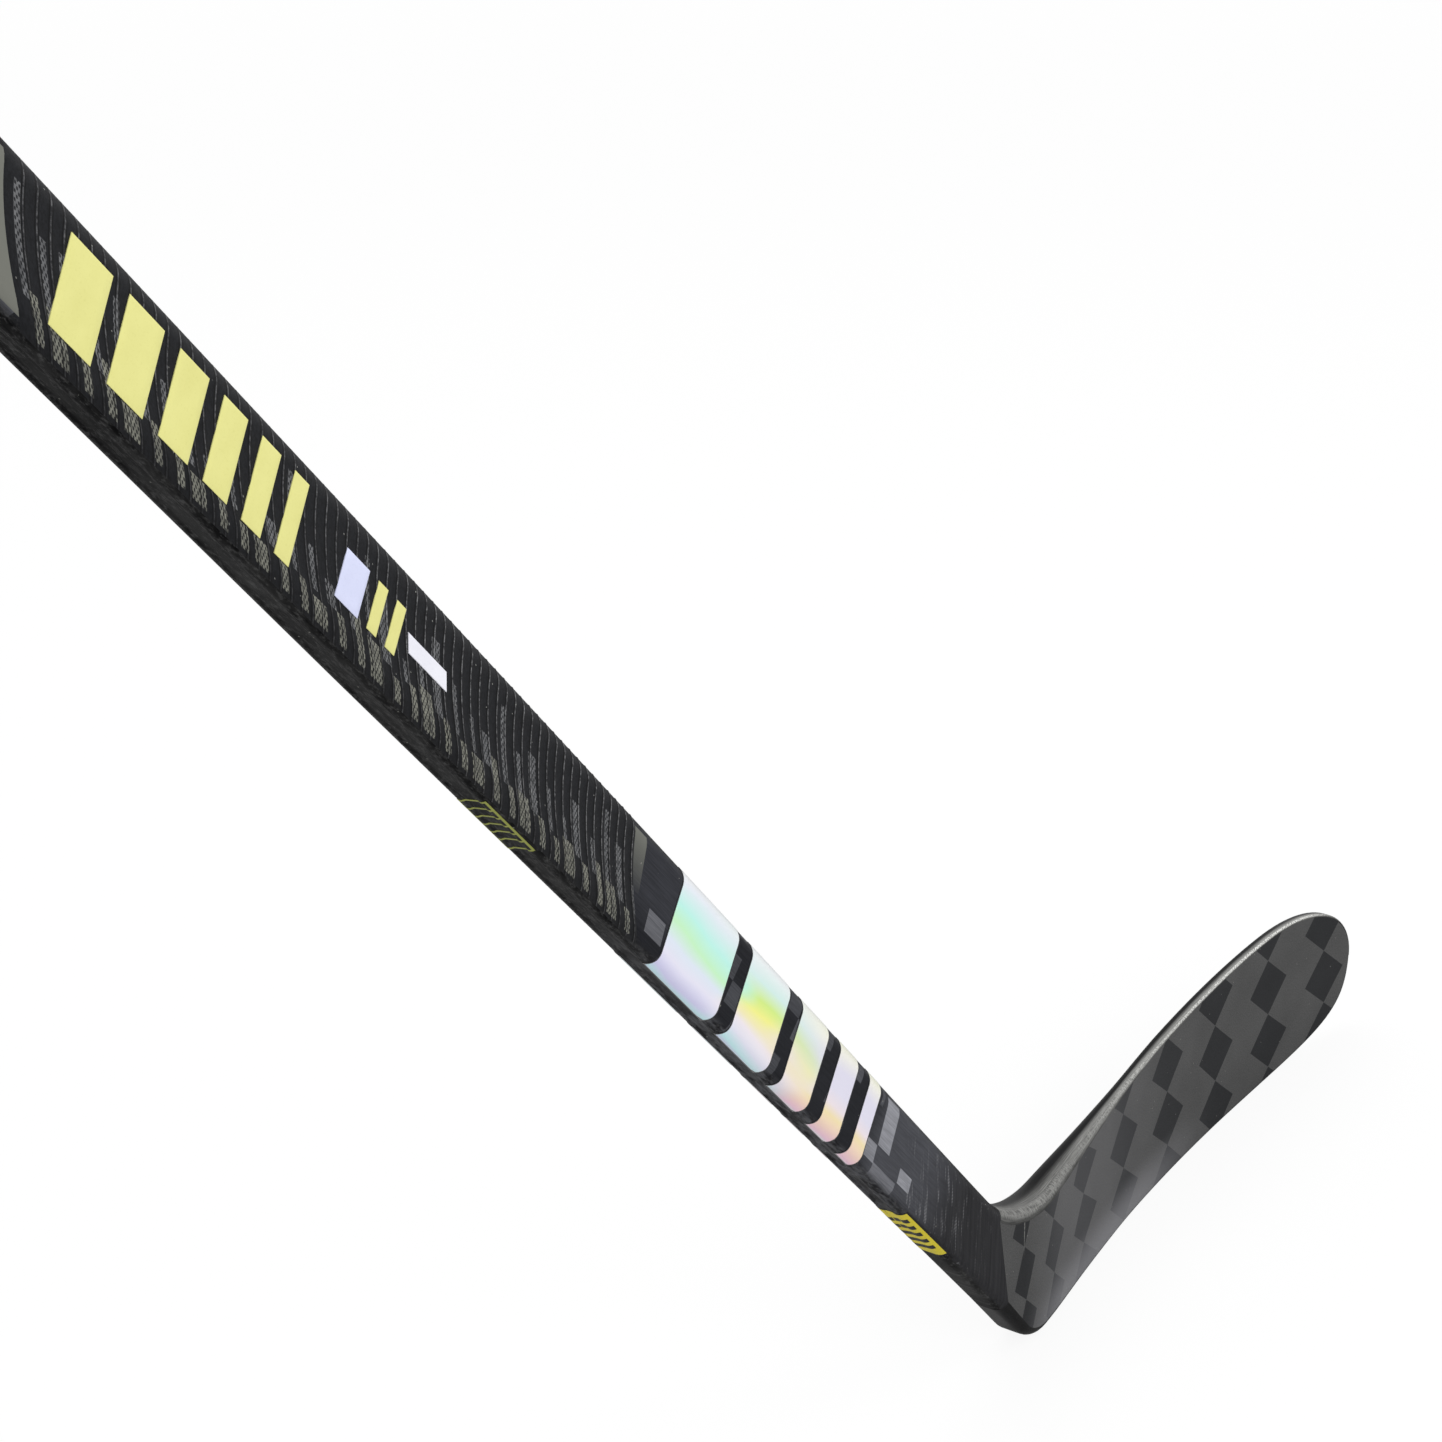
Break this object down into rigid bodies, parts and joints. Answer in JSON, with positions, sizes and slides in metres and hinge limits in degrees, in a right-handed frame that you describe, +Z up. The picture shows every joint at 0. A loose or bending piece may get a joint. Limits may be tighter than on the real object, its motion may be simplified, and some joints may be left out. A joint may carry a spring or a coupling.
{
  "type": "ice hockey stick",
  "caption": "Ice hockey stick with a hollow tapered shaft, a thin curved blade and a pull-out butt plug.",
  "frame": {"origin": "middle of the blade's sole, where it rests on the ice", "axes": "+X from the heel to the toe, +Z up from the ice, -Y on the forehand side"},
  "size_m": [1.3521, 0.0209, 1.1338],
  "materials": {
    "shaft_carbon": "gloss clear coat over spread-tow carbon",
    "hosel_carbon": "gloss clear coat over unidirectional carbon",
    "blade_fabric": "satin, spread-tow carbon in plies at 45 degrees",
    "blade_edge": "satin, rolled edge of the laminate",
    "web_carbon": "bare laminate",
    "foam": "closed-cell foam",
    "epoxy": "cured adhesive",
    "grip_coat": "soft-touch raised coat with fine ridges",
    "holo_foil": "holographic transfer foil under clear coat",
    "yellow_print": "screen-printed ink, pale yellow",
    "white_print": "screen-printed ink, cool white",
    "lavender_print": "screen-printed ink, pale lavender",
    "badge_yellow": "screen-printed ink, yellow and black",
    "plug_abs": "moulded",
    "cap_rubber": "moulded, fine texture"
  },
  "bodies": {
    "stick": {"shaft_tube": "shaft_carbon", "hosel": "hosel_carbon", "joint_glue": "epoxy", "heel_core": "foam", "blade_edge_band": "blade_edge", "blade_front_skin": "blade_fabric", "blade_back_skin": "blade_fabric", "blade_lower_core": "foam", "blade_upper_core": "foam", "blade_web": "web_carbon", "grip_coat_front": "grip_coat", "name_bars_front": "yellow_print", "yellow_bars_front": "yellow_print", "white_bar_front": "white_print", "lavender_bar_front": "lavender_print", "grip_coat_back": "grip_coat", "name_bars_back": "yellow_print", "yellow_bars_back": "yellow_print", "white_bar_back": "white_print", "lavender_bar_back": "lavender_print", "side_mark": "yellow_print", "heel_badge": "badge_yellow", "foil_block_1_front": "holo_foil", "foil_block_2_front": "holo_foil", "foil_block_3_front": "holo_foil", "foil_block_4_front": "holo_foil", "foil_block_5_front": "holo_foil", "foil_block_1_back": "holo_foil", "foil_block_2_back": "holo_foil", "foil_block_3_back": "holo_foil", "foil_block_4_back": "holo_foil", "foil_block_5_back": "holo_foil"},
    "butt_plug": {"plug_spigot": "plug_abs", "plug_core": "foam", "butt_cap": "cap_rubber"}
  },
  "joints": [
    {"name": "plug_pull", "type": "slide", "parent": "stick", "child": "butt_plug", "axis": [-0.682, 0, 0.7314], "range_m": [0, 0.06]}
  ]
}
